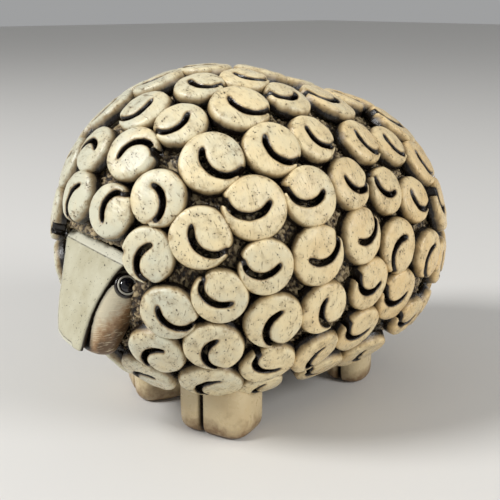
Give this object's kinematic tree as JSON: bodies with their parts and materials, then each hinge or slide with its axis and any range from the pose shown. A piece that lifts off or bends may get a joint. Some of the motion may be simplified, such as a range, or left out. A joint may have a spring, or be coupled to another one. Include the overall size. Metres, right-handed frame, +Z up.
{
  "type": "sheep figurine",
  "caption": "Small standing sheep ornament with a round body covered in raised slotted discs, a flat wedge-shaped face, bead eyes and short cloven feet.",
  "frame": {"origin": "on the floor, under the middle of the object's length and width", "axes": "+Z up; the face looks along -Y; +X is the sheep's left side"},
  "size_m": [0.0781, 0.1044, 0.0804],
  "materials": {
    "dark_ground": "dark brown-black stain with glossy glints",
    "curl_glaze": "satin bone-cream, browned in the recesses",
    "face_glaze": "satin cream with fine dark pits",
    "cheek_glaze": "satin cream, stained orange-brown low down",
    "foot_glaze": "satin cream, browned at the sole",
    "eye_rim": "glossy black",
    "eye_glass": "glossy black bead"
  },
  "bodies": {
    "root": {"brow_curls": "curl_glaze", "crown_curls": "curl_glaze", "face_plate": "face_glaze", "fleece_body": "dark_ground", "head_block": "dark_ground", "left_cheek": "cheek_glaze", "left_eye_bead": "eye_glass", "left_eye_ring": "eye_rim", "left_flank_curls": "curl_glaze", "left_front_foot": "foot_glaze", "left_haunch_curls": "curl_glaze", "left_hind_foot": "foot_glaze", "left_shoulder_curls": "curl_glaze", "left_skirt_curls": "curl_glaze", "right_cheek": "cheek_glaze", "right_eye_bead": "eye_glass", "right_eye_ring": "eye_rim", "right_flank_curls": "curl_glaze", "right_front_foot": "foot_glaze", "right_haunch_curls": "curl_glaze", "right_hind_foot": "foot_glaze", "right_shoulder_curls": "curl_glaze", "right_skirt_curls": "curl_glaze", "rump_curls": "curl_glaze"}
  },
  "joints": []
}
